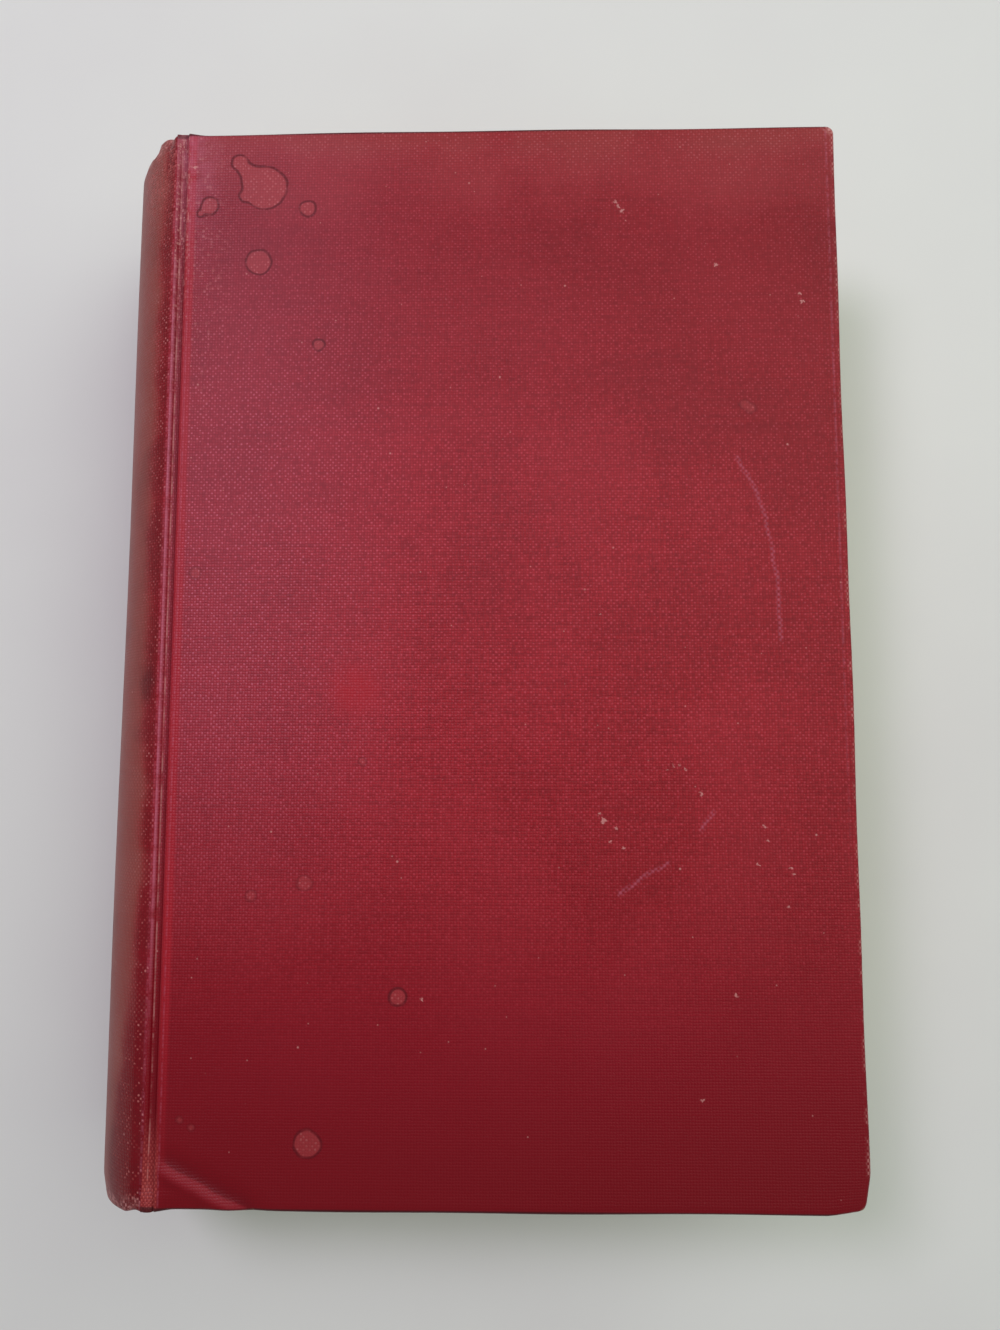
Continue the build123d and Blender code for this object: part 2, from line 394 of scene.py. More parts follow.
def cover_weave(points):
    """Place of each point of a cover on its flat cloth, before the cloth went round the edges."""
    x, y, z = points.T
    drop = TOP_Z - z
    edge = 1.2 * MM
    in_groove = JOINT_X + 1.6 * (x - JOINT_X)
    across = np.where(x > FORE_X - edge, x + drop, np.where(x < JOINT_X, in_groove, x))
    along = np.where(np.abs(y) > HEAD_Y - edge, y + np.sign(y) * drop, y)
    return np.stack([across, along, np.zeros_like(x)], axis=1)


class BOOK_OT_cover_cloth(bpy.types.Operator):
    """Cloth of the front and back covers, with the joint grooves at which a cover opens"""

    bl_idname = "book.cover_cloth"
    bl_label = "Cover Cloth"

    def execute(self, context):
        shape = context.scene.book_shape
        for seed, side in ((1, "front"), (2, "back")):
            piece = cover_sheet(f"{side}_cover_cloth", shape)
            points = coordinates(piece)
            groove = groove_height(shape, points[:, 0])
            points = wear_edges(points, groove, seed)
            keep(piece, "flat_mm", cover_weave(points))
            if side == "front":
                points = wear_front(points, groove)
            else:
                points[:, 2] = TOP_Z - points[:, 2]
            place(piece, points)
            keep(piece, "rest_mm", points)
            if side == "back":
                face_outwards(piece, flip=True)
            harden(piece, shape.cloth)
            end_piece(piece, book_cloth(f"{side}_book_cloth", side))
            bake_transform(piece)
            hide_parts(f"{side}_cloth")
        return {"FINISHED"}


# Cloth of the spine

# Inlay: its thickness, how far it stops short at each end, and how far inside its outer face the turned-in cloth lies
INLAY_THICK, INLAY_SHORT, INLAY_COVERED = 0.5 * MM, 6 * MM, 1.05 * MM


def round_of(shape):
    """Axis and outer radius of the spine's round, and the radius of its inlay."""
    inlay_radius = (INLAY_HIGH.z - INLAY_LOW.z) / (2 * math.sin(shape.half_round))
    centre_x = INLAY_LOW.x + inlay_radius
    return centre_x, centre_x - SPINE_LOW.x, inlay_radius


def arched_sheet(name, axis, radius, half_turn, long, cuts, steps):
    """Sheet bent round the spine's axis: a line along the spine, spun through its round."""
    side = Vector((axis[0] - radius * math.cos(half_turn), 0, axis[2] + radius * math.sin(half_turn)))
    piece = start_piece(
        name, bpy.ops.mesh.primitive_plane_add, size=1, stretch=(2 * MM, long, 1), location=side + Vector((MM, 0, 0))
    )
    pick(piece, "VERT", lambda vertex: vertex.co.x > side.x + MM)
    bpy.ops.mesh.delete(type="VERT")
    bpy.ops.mesh.select_all(action="SELECT")
    bpy.ops.mesh.subdivide(number_cuts=cuts)
    bpy.ops.mesh.select_all(action="SELECT")
    bpy.ops.mesh.spin(steps=steps, angle=2 * half_turn, center=axis, axis=(0, 1, 0))
    return piece


def face_away(piece):
    """Turns the faces of an arched sheet away from the pages."""
    if sum(face.normal.x * face.area for face in piece.data.polygons if abs(face.center.y) < 100 * MM) > 0:
        face_outwards(piece, flip=True)


def wear_spine(points, centre_x):
    """Crushed caps at head and tail, with a small tear beside the front shoulder at the head."""
    x, y = points[:, 0], points[:, 1]
    turn = np.degrees(np.arctan2(points[:, 2] - MID_Z, centre_x - x))
    at_head = ease(CAP_Y - 9 * MM, CAP_Y, y)
    at_tail = ease(CAP_Y - 9 * MM, CAP_Y, -y)
    lip = ease(CAP_Y - 4 * MM, CAP_Y, y)
    tear = 1.2 * np.exp(-((turn - 42) / 2) ** 2)
    ear = 1.7 * ease(43.5, 46.5, turn) * (1 - 0.85 * ease(50, 61, turn)) - tear
    lift = 0.18 * np.sin(turn / 6.5) - 0.25
    slump = 1.5 * ease(10, 35, turn) * (1 - 0.95 * ease(50, 60, turn)) + 0.16 * np.sin(turn / 5.1 + 1)
    points[:, 1] += (at_head * lift + lip * ear - at_tail * slump) * MM
    pinch = ease(CAP_Y - 4 * MM, CAP_Y, np.abs(y)) ** 2 * np.where(y > 0, 0.9, 0.5)
    pinch += 0.12 * np.sin(y / (23 * MM) + turn / 31) - 0.15 + 0.35 * y / CAP_Y
    outward = np.stack([x - centre_x, points[:, 2] - MID_Z], axis=1)
    outward /= np.linalg.norm(outward, axis=1, keepdims=True)
    middle = 1 - ease(56, 62, np.abs(turn))
    points[:, [0, 2]] -= outward * (pinch * middle)[:, None] * MM
    return points


class BOOK_OT_spine_cloth(bpy.types.Operator):
    """Cloth of the rounded spine, folded in at head and tail"""

    bl_idname = "book.spine_cloth"
    bl_label = "Spine Cloth"

    def execute(self, context):
        shape = context.scene.book_shape
        centre_x, radius, inlay_radius = round_of(shape)
        axis = (centre_x, 0, MID_Z)
        rise = radius * math.sin(shape.half_round)
        fold = (radius - inlay_radius + INLAY_COVERED) / 2
        straight = CAP_Y - fold
        cuts = round(2 * straight / shape.mesh_step)
        piece = arched_sheet("spine_cover_cloth", axis, radius, shape.half_round, 2 * straight, cuts, steps=150)
        rounding = [(shape.crest_round, math.pi / 2 - shape.half_round, 4)]
        crest = [(-x, 0, -z) for x, _, z in reversed(bend_moves(math.pi, rounding))]
        pick(piece, "EDGE", lambda edge: lies_at(edge, 2, MID_Z + rise))
        draw_out(crest)
        pick(piece, "EDGE", lambda edge: lies_at(edge, 2, MID_Z - rise))
        draw_out([(x, 0, -z) for x, _, z in crest])
        turns = np.linspace(0, math.pi, 9)
        for end in (-1, 1):
            pick(piece, "EDGE", lambda edge: edge.is_boundary and lies_at(edge, 1, end * straight))
            ring = radius
            for before, after in zip(turns, turns[1:]):
                step = fold * (math.sin(after) - math.sin(before))
                draw_out([(0, end * step, 0)])
                share = (radius - fold * (1 - math.cos(after))) / ring
                bpy.ops.transform.resize(value=(share, 1, share), center_override=axis)
                ring *= share
            draw_out([(0, -end * shape.turn_in / 3, 0)] * 3)
        bpy.ops.mesh.select_all(action="SELECT")
        bpy.ops.mesh.remove_doubles(threshold=0.002 * MM)
        points = coordinates(piece)
        round_way = radius * np.arctan2(points[:, 2] - MID_Z, centre_x - points[:, 0])
        keep(piece, "flat_mm", np.stack([round_way, points[:, 1], np.zeros_like(round_way)], axis=1))
        points = wear_spine(points, centre_x)
        place(piece, points)
        keep(piece, "rest_mm", points)
        face_away(piece)
        harden(piece, shape.cloth)
        end_piece(piece, book_cloth("spine_book_cloth", "spine"))
        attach(piece, "book_block")
        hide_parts("spine_cloth")
        return {"FINISHED"}


class BOOK_OT_spine_inlay(bpy.types.Operator):
    """Strip of stiff kraft paper inside the spine cloth"""

    bl_idname = "book.spine_inlay"
    bl_label = "Spine Inlay"

    def execute(self, context):
        shape = context.scene.book_shape
        centre_x, _, inlay_radius = round_of(shape)
        half_turn = shape.half_round - math.radians(1)
        long = 2 * (INLAY_HIGH.y - INLAY_SHORT)
        axis = (centre_x, 0, MID_Z)
        piece = arched_sheet("spine_inlay_strip", axis, inlay_radius, half_turn, long, cuts=10, steps=40)
        bpy.ops.object.mode_set(mode="OBJECT")
        face_away(piece)
        harden(piece, INLAY_THICK)
        end_piece(piece, kraft_paper("kraft_inlay"))
        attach(piece, "book_block")
        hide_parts("spine_inlay")
        return {"FINISHED"}


# Pages, endpapers and bands

# Page edges: seed of their unevenness, leaf groups in a section, and how far they lie inside the trimmed size
LEAF_SEED, SECTION, TRIM = 7, 5, 0.2 * MM


class BOOK_OT_pages(bpy.types.Operator):
    """Block of pages, with the uneven edges of its leaves at head, tail and fore-edge"""

    bl_idname = "book.pages"
    bl_label = "Pages"

    def execute(self, context):
        shape = context.scene.book_shape
        leaves = shape.leaf_groups
        centre_x = round_of(shape)[0]
        page_radius = centre_x - PAGES_LOW.x
        half = FLYLEAF_LOW.z - 0.05 * MM - MID_Z
        shoulder_x = centre_x - page_radius * math.cos(shape.half_round)
        width = PAGES_HIGH.x - shoulder_x
        hollow_radius = (half ** 2 + shape.hollow ** 2) / (2 * shape.hollow)
        piece = start_piece(
            "page_block", bpy.ops.mesh.primitive_grid_add, x_subdivisions=12, y_subdivisions=24, size=1,
            stretch=(width, 2 * PAGES_HIGH.y, 1), location=(0, 0, MID_Z - half),
        )
        rise = 2 * half / leaves
        for _ in range(leaves):
            for up in (0.15 * rise, 0.85 * rise):
                bpy.ops.mesh.extrude_region_move(TRANSFORM_OT_translate={"value": (0, 0, up)})
        points = coordinates(piece)
        x, y, z = points.T.copy()
        leaf = np.clip(np.floor((z - MID_Z + half) / rise - 0.07), 0, leaves - 1).astype(int)
        random = np.random.default_rng(LEAF_SEED)
        section = random.normal(0, 1.0, leaves // SECTION + 1)[leaf // SECTION]
        single = random.normal(0, 1.0, (3, leaves))
        off_middle = np.abs(z - MID_Z)
        back = np.minimum(centre_x - np.sqrt(np.maximum(page_radius ** 2 - off_middle ** 2, 0)), shoulder_x)
        fore = PAGES_HIGH.x - shape.hollow + hollow_radius - np.sqrt(hollow_radius ** 2 - off_middle ** 2)
        share = x / width + 0.5
        fore_wave = np.sin(y / (31 * MM) + leaf * 0.9) * 0.3
        fore += (share > 0.99) * (shape.leaf_jitter * (single[0][leaf] + section + fore_wave) - TRIM)
        points[:, 0] = back + share * (fore - back)
        end_wave = np.sin(points[:, 0] / (27 * MM) + leaf * 1.3) * 0.3
        for end, uneven in ((1, single[1]), (-1, single[2])):
            shift = shape.leaf_jitter * (uneven[leaf] + section + end_wave) - TRIM
            points[:, 1] += end * shift * (end * y > 0.99 * PAGES_HIGH.y)
        place(piece, points)
        face_outwards(piece)
        end_piece(piece, page_paper(), smooth=20)
        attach(piece, "book_block")
        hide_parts("text_block")
        return {"FINISHED"}


class BOOK_OT_endpapers(bpy.types.Operator):
    """Endpapers: each a flyleaf and a pastedown in one folded sheet"""

    bl_idname = "book.endpapers"
    bl_label = "Endpapers"

    def execute(self, context):
        shape = context.scene.book_shape
        material = endpaper()
        low = FLYLEAF_LOW.z
        gap = PASTED_LOW.z + shape.paper - low
        inner_x = FORE_X - shape.turn_in
        inner_y = HEAD_Y - shape.turn_in
        steps = [-1.2 * MM, -0.4 * MM, 0.4 * MM]
        columns, rows = 36, 58
        flat = (None, 0.3 * MM, 2)
        neck = 2 * MM
        sunk = 0.4 * MM
        for side in ("front", "back"):
            piece = start_piece(
                f"{side}_endpaper", bpy.ops.mesh.primitive_grid_add, x_subdivisions=columns, y_subdivisions=rows,
                size=1, stretch=(FLYLEAF_HIGH.x - FLYLEAF_LOW.x, 2 * FLYLEAF_HIGH.y, 1),
                location=((FLYLEAF_HIGH.x + FLYLEAF_LOW.x) / 2, 0, low),
            )
            pick(piece, "EDGE", lambda edge: edge.is_boundary and lies_at(edge, 0, FLYLEAF_LOW.x))
            draw_out(bend_moves(math.pi, [flat, (gap / 2, -math.pi, 24), flat]))
            draw_out([(neck, 0, 0)])
            bpy.ops.transform.resize(value=(1, PASTED_HIGH.y / FLYLEAF_HIGH.y, 1), center_override=(0, 0, 0))
            draw_out([((PASTED_HIGH.x - FLYLEAF_LOW.x - neck) / columns, 0, 0)] * columns)
            cut(0, [inner_x + step for step in steps])
            cut(1, [end * (inner_y + step) for end in (-1, 1) for step in steps])
            points = coordinates(piece)
            x, y, z = points.T.copy()
            past_x = ease(inner_x + steps[0], inner_x + steps[2], x)
            past_y = ease(inner_y + steps[0], inner_y + steps[2], np.abs(y))
            bare = (1 - np.maximum(past_x, past_y)) * ease(MULL_X, MULL_X + 2 * MM, x)
            points[:, 2] += (z > low + gap - TOUCH) * bare * sunk
            levels = [FLYLEAF_HIGH.z, PASTED_LOW.z]
            if side == "back":
                points[:, 2] = TOP_Z - points[:, 2]
                levels = [TOP_Z - level for level in levels]
            place(piece, points)
            keep(piece, "rest_mm", points)
            harden(piece, shape.paper, offset=1.0 if side == "front" else -1.0)
            end_piece(piece, material)
            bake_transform(piece)
            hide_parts(f"{side}_flyleaf", f"{side}_pastedown")
        return {"FINISHED"}


class BOOK_OT_bands(bpy.types.Operator):
    """Head and tail bands: a cord wound with two colours of cotton, on a tape"""

    bl_idname = "book.bands"
    bl_label = "Head and Tail Bands"

    def execute(self, context):
        shape = context.scene.book_shape
        centre_x = round_of(shape)[0]
        axis = (centre_x, 0, MID_Z)
        outer = centre_x - BAND_LOW.x
        half_turn = math.asin((BAND_HIGH.z - BAND_LOW.z) / 2 / outer)
        bead = (BAND_HIGH.y - PAGES_HIGH.y) / 2
        ring = outer - bead
        material = band_thread()
        for name, end in (("head_band", 1), ("tail_band", -1)):
            middle = (centre_x - ring, end * (PAGES_HIGH.y + bead), MID_Z)

            def on_back(vertex, out, low, high):
                """Whether a vertex lies on the back of the roll, between two heights from its middle in radii."""
                height = end * (vertex.co.y - middle[1]) / bead
                return vertex.co.x < middle[0] - out * bead and low < height < high

            piece = start_piece(
                f"{name}_roll", bpy.ops.mesh.primitive_circle_add, vertices=16, radius=bead, location=middle
            )
            pick(piece, "EDGE", lambda edge: all(on_back(vertex, 0.9, -1.0, 0.01) for vertex in edge.verts))
            bpy.ops.mesh.subdivide(number_cuts=2)
            pick(piece, "VERT", lambda vertex: on_back(vertex, 0.93, -0.35, -0.05))
            bpy.ops.transform.translate(value=(0, end * BAND_LOW.y - middle[1], 0))
            bpy.ops.mesh.select_all(action="SELECT")
            bpy.ops.transform.rotate(value=half_turn, orient_axis="Y", center_override=axis)
            bpy.ops.mesh.spin(steps=shape.windings * 6, angle=2 * half_turn, center=axis, axis=(0, -1, 0))
            pick(piece, "EDGE", lambda edge: edge.is_boundary)
            bpy.ops.mesh.edge_face_add()
            points = coordinates(piece)
            turn = np.arctan2(points[:, 2] - MID_Z, centre_x - points[:, 0])
            core = np.full_like(points, middle[1])
            core[:, 0] = centre_x - ring * np.cos(turn)
            core[:, 2] = MID_Z + ring * np.sin(turn)
            swell = 0.88 + 0.12 * np.abs(np.sin(turn / (2 * half_turn) * shape.windings * math.pi))
            wound = np.linalg.norm(points - core, axis=1) < 1.2 * bead
            points = np.where(wound[:, None], core + (points - core) * swell[:, None], points)
            place(piece, points)
            face_outwards(piece)
            end_piece(piece, material)
            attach(piece, "book_block")
            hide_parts(name)
        return {"FINISHED"}


class BOOK_OT_inner_layers(bpy.types.Operator):
    """Finish of the boards, mull and linings, which keep their solids"""

    bl_idname = "book.inner_layers"
    bl_label = "Inner Layers"

    def execute(self, context):
        finishes = {
            millboard(): ("front_board", "back_board"),
            kraft_paper("kraft_lining"): ("spine_lining",),
            mull_cotton(): ("spine_mull", "front_mull", "back_mull"),
        }
        for material, names in finishes.items():
            for name in names:
                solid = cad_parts[name].data
                solid.materials.clear()
                solid.materials.append(material)
        return {"FINISHED"}


# Materials

# Spacing of the drawn threads, how near spots flow together, and a distance beyond any mark, in millimetres
THREAD_PITCH, FLOW, FAR = 0.62, 1.2, 100.0


def feed(tree, socket, value):
    """Links a node's output to a socket, or sets the socket to a plain value."""
    if isinstance(value, bpy.types.NodeSocket):
        tree.links.new(value, socket)
    else:
        socket.default_value = value


def add(tree, kind, inputs=(), out=0, **settings):
    """Adds a node with its settings and links, and returns one of its outputs."""
    node = tree.nodes.new("ShaderNode" + kind)
    for key, value in settings.items():
        setattr(node, key, value)
    for socket, value in dict(inputs).items():
        feed(tree, node.inputs[socket], value)
    return node.outputs[out]


def lay(tree, shade, *coats):
    """Lays coats of colour over a shade: each a tone, its share and its masks.

    A mask is a value, where it lets nothing through and where it lets all through."""
    for tone, share, *masks in coats:
        for value, none, full in masks:
            ends = {0: value, "From Min": none, "From Max": full}
            mask = add(tree, "MapRange", ends, interpolation_type="SMOOTHSTEP")
            share = add(tree, "Math", {0: mask, 1: share}, operation="MULTIPLY")
        shade = add(tree, "Mix", {0: share, 6: shade, 7: tone}, out=2, data_type="RGBA")
    return shade


def new_material(name, bends=False):
    """An empty material: itself, its tree, the colours and its place in millimetres, at rest if it bends."""
    material = bpy.data.materials.new(name)
    material.use_nodes = True
    tree = material.node_tree
    if bends:
        spot = add(tree, "Attribute", out="Vector", attribute_name="rest_mm")
    else:
        spot = add(tree, "TexCoord", out="Object")
        spot = add(tree, "VectorMath", {0: spot, "Scale": 1 / MM}, operation="SCALE")
    return material, tree, bpy.context.scene.book_colours, spot


def surface(material, shade, roughness, gloss=0.5, relief=None):
    """Gives a material its shade, its roughness, its gloss and any relief."""
    tree = material.node_tree
    sockets = tree.nodes["Principled BSDF"].inputs
    feed(tree, sockets["Base Color"], shade)
    feed(tree, sockets["Roughness"], roughness)
    feed(tree, sockets["Specular IOR Level"], gloss)
    if relief is not None:
        feed(tree, sockets["Normal"], relief)
    return material


def stir(tree, spot, scale, detail, reach):
    """Shifts each place by chance, so that rims and threads run unevenly."""
    drift = add(tree, "TexNoise", {"Vector": spot, "Scale": scale, "Detail": detail}, out="Color")
    drift = add(tree, "VectorMath", {0: drift, 1: (0.5, 0.5, 0.5)}, operation="SUBTRACT")
    return add(tree, "VectorMath", {0: drift, 1: reach, 2: spot}, operation="MULTIPLY_ADD")


def away_from(tree, value, middle):
    """How far a value lies from a middle, to either side."""
    away = add(tree, "Math", {0: value, 1: middle}, operation="SUBTRACT")
    return add(tree, "Math", {0: away}, operation="ABSOLUTE")


def short_of(tree, value, end):
    """How far a value lies short of either end."""
    return add(tree, "Math", {0: end / MM, 1: away_from(tree, value, 0.0)}, operation="SUBTRACT")


def turn_round(tree, across, up):
    """Angle round the spine's axis, from the middle of the spine."""
    centre_x = round_of(bpy.context.scene.book_shape)[0]
    side = add(tree, "Math", {0: centre_x / MM, 1: across}, operation="SUBTRACT")
    lift = add(tree, "Math", {0: up, 1: MID_Z / MM}, operation="SUBTRACT")
    return add(tree, "Math", {0: lift, 1: side}, operation="ARCTAN2")


def plain_weave(tree, pitch):
    """Plain weave on the flat cloth: which thread lies over, its height, thicker threads and chance by stitch."""
    flat = add(tree, "Attribute", out="Vector", attribute_name="flat_mm")
    loose = stir(tree, flat, 0.9, 2.0, (0.4, 0.4, 0.4))
    turns = add(tree, "VectorMath", {0: loose, "Scale": math.pi / pitch}, operation="SCALE")
    waves = add(tree, "VectorMath", {0: turns}, operation="SINE")
    warp, weft = (add(tree, "SeparateXYZ", {0: waves}, out=axis) for axis in "XY")
    over = add(tree, "Math", {0: warp, 1: weft}, operation="MULTIPLY")
    height = add(tree, "Math", {0: over}, operation="ABSOLUTE")
    height = add(tree, "Math", {0: height, 1: 0.6}, operation="POWER")
    lines = 0.0
    for stretch, share in (((1.5, 0.04, 1.0), 0.4), ((0.04, 1.5, 1.0), 0.6)):
        drawn = add(tree, "VectorMath", {0: flat, 1: stretch}, operation="MULTIPLY")
        thick = add(tree, "TexNoise", {"Vector": drawn, "Scale": 1.0, "Detail": 2.0})
        lines = add(tree, "Math", {0: thick, 1: share, 2: lines}, operation="MULTIPLY_ADD")
    stitch = add(tree, "VectorMath", {0: loose, "Scale": 1 / pitch}, operation="SCALE")
    stitch = add(tree, "VectorMath", {0: stitch}, operation="FLOOR")
    chance = add(tree, "TexWhiteNoise", {"Vector": stitch})
    return over, height, lines, chance


def spot_distance(tree, spot, spots):
    """Distance to the rim of the nearest of some round spots, less than zero inside; near spots flow together."""
    nearest = FAR
    for x, y, radius in spots:
        reach = add(tree, "VectorMath", {0: spot, 1: (x, y, 0)}, out="Value", operation="DISTANCE")
        reach = add(tree, "Math", {0: reach, 1: radius}, operation="SUBTRACT")
        nearest = add(tree, "Math", {0: nearest, 1: reach, 2: FLOW}, operation="SMOOTH_MIN")
    return nearest


def along_line(tree, spot, start, end):
    """Place from the start of a line, its run, and the share of the run that a place has gone along it."""
    run = Vector((*end, 0)) - Vector((*start, 0))
    offset = add(tree, "VectorMath", {0: spot, 1: (*start, 0)}, operation="SUBTRACT")
    unit = run / run.length_squared
    share = add(tree, "VectorMath", {0: offset, 1: unit}, out="Value", operation="DOT_PRODUCT")
    return offset, run, share


def line_distance(tree, spot, lines):
    """Distance to the nearest of some drawn lines, each a row of points."""
    nearest = FAR
    for line in lines:
        for start, end in zip(line, line[1:]):
            offset, run, share = along_line(tree, spot, start, end)
            share = add(tree, "Clamp", {0: share})
            foot = add(tree, "VectorMath", {0: run, "Scale": share}, operation="SCALE")
            reach = add(tree, "VectorMath", {0: offset, 1: foot}, out="Value", operation="DISTANCE")
            nearest = add(tree, "Math", {0: nearest, 1: reach}, operation="MINIMUM")
    return nearest


# Marks on the front cover: places across and along in millimetres, and radii
CLEAR_STAINS = (
    (-51.9, 110.3, 1.9), (-50.4, 108.4, 1.9), (-48.8, 106.6, 2.9), (-46.1, 104.2, 5.1), (-50.4, 102.4, 1.5),
    (-58.6, 99.8, 2.0), (-60.4, 98.2, 0.8), (-36.2, 99.0, 1.9), (-47.1, 86.5, 2.8), (-33.1, 67.0, 1.3),
    (-14.1, -74.4, 1.9), (-32.4, -103.9, 2.8),
)
FAINT_STAINS = (
    (-59.2, 15.3, 1.3), (-45.3, -53.9, 1.1), (-34.1, -51.2, 1.6), (-21.9, -25.8, 0.9), (61.0, 52.4, 1.0),
    (62.3, 51.4, 1.1), (-59.1, -99.3, 0.7), (-56.6, -100.8, 0.6),
)
SCRATCHES = (
    ((58.9, 40.8), (62.8, 33.5), (65.1, 26.7), (67.1, 13.0), (67.6, 0.3)),
    ((32.2, -53.3), (37.6, -49.6), (42.5, -46.8)),
    ((49.6, -39.7), (52.4, -36.4)),
)
NICKS = (
    (28.3, -36.6, 0.3), (29.2, -38.1, 0.55), (31.7, -39.8, 0.4), (30.6, -42.3, 0.3), (33.3, -43.7, 0.3),
    (42.9, -27.5, 0.25), (44.0, -26.5, 0.2), (45.4, -26.3, 0.2), (46.5, -27.3, 0.25), (49.8, -32.4, 0.3),
    (62.9, -39.1, 0.3), (63.7, -42.2, 0.25), (61.4, -47.0, 0.25), (68.3, -48.0, 0.3), (68.9, -49.1, 0.3),
    (67.5, -55.7, 0.35), (74.6, -61.2, 0.25), (48.9, -94.7, 0.35), (33.3, 99.6, 0.35), (34.0, 98.7, 0.3),
    (34.7, 97.6, 0.4), (55.5, 84.6, 0.4), (7.3, 59.2, 0.3), (73.9, 77.5, 0.3), (74.3, 75.8, 0.35),
    (56.2, -73.7, 0.35), (-9.0, -75.0, 0.3), (28.9, 6.0, 0.3), (-62.1, 109.2, 0.35),
)
FRESH_PATCH = ((-24.0, -10.3, 4.5),)
# Line of the painted shadow and painted highlight along the crease: its start and end, across and along
CREASE_SHADING = (-62.5, -107.86), (-44.15, -117.36)
# Smudge on the spine's shoulder: angle, place along and radius
SPINE_SMUDGE = ((65.0, -8.5, 3.0),)
# Sizes of the clouds, lumps and fibres of wear, in millimetres
COVER_CLOUDS, SPINE_CLOUDS, LUMPS, FIBRES = 16, 14, 3.2, 1.1


def front_marks(tree, shade, spot, up, over, chance, colours):
    """Drip stains with dark rims, scratches, pale nicks, a patch of fresh dye, and a painted shadow and painted
    highlight along the crease on the front cover.
    """
    face = (up, TOP_Z / MM - 1.6, TOP_Z / MM - 1.0)
    flat = add(tree, "VectorMath", {0: spot, 1: (1, 1, 0)}, operation="MULTIPLY")
    ragged = stir(tree, flat, 0.25, 1.0, (1.1, 1.1, 0))
    frayed = stir(tree, flat, 1 / 0.8, 2.0, (1.8, 1.8, 0))
    patchy = add(tree, "TexNoise", {"Vector": flat, "Scale": 1 / 2.5, "Detail": 3.0})
    for spots, inside, rim in ((CLEAR_STAINS, 0.34, 0.85), (FAINT_STAINS, 0.25, 0.35)):
        reach = spot_distance(tree, ragged, spots)
        away = away_from(tree, reach, 0.0)
        shade = lay(
            tree, shade,
            (colours.faded, inside, face, (reach, 0.25, -0.25)),
            (colours.rubbed, 0.5 * inside, face, (reach, 0.0, -0.4), (over, 0.0, 0.9), (chance, 0.3, 1.0)),
            (colours.ring, rim, face, (away, 0.45, 0.1), (patchy, 0.1, 0.52)),
        )
    scratch = line_distance(tree, ragged, SCRATCHES)
    nick = spot_distance(tree, frayed, NICKS)
    patch = spot_distance(tree, ragged, FRESH_PATCH)
    offset, crease, share = along_line(tree, ragged, *CREASE_SHADING)
    above = Vector((-crease.y, crease.x, 0)).normalized()
    above = add(tree, "VectorMath", {0: offset, 1: above}, out="Value", operation="DOT_PRODUCT")
    run = (share, -0.05, 0.1), (share, 1.15, 0.9)
    return lay(
        tree, shade,
        (colours.dust_and_sheen, 0.3, face, (scratch, 0.75, 0.1), (over, -0.9, 0.5), (patchy, 0.2, 0.5)),
        (colours.rubbed, 0.7, face, (nick, 0.15, -0.2)),
        (colours.fresh, 0.85, face, (patch, 3.5, -3.0), (patchy, 0.15, 0.55)),
        # Painted shadow on the upper side of the crease
        (colours.ring, 0.5, face, *run, (above, 3.0, 0.4), (above, -0.3, 0.3)),
        # Painted highlight on the lower side of the crease
        (colours.cloth_light, 0.2, face, *run, (above, 0.2, -0.5), (above, -2.8, -1.0)),
    )


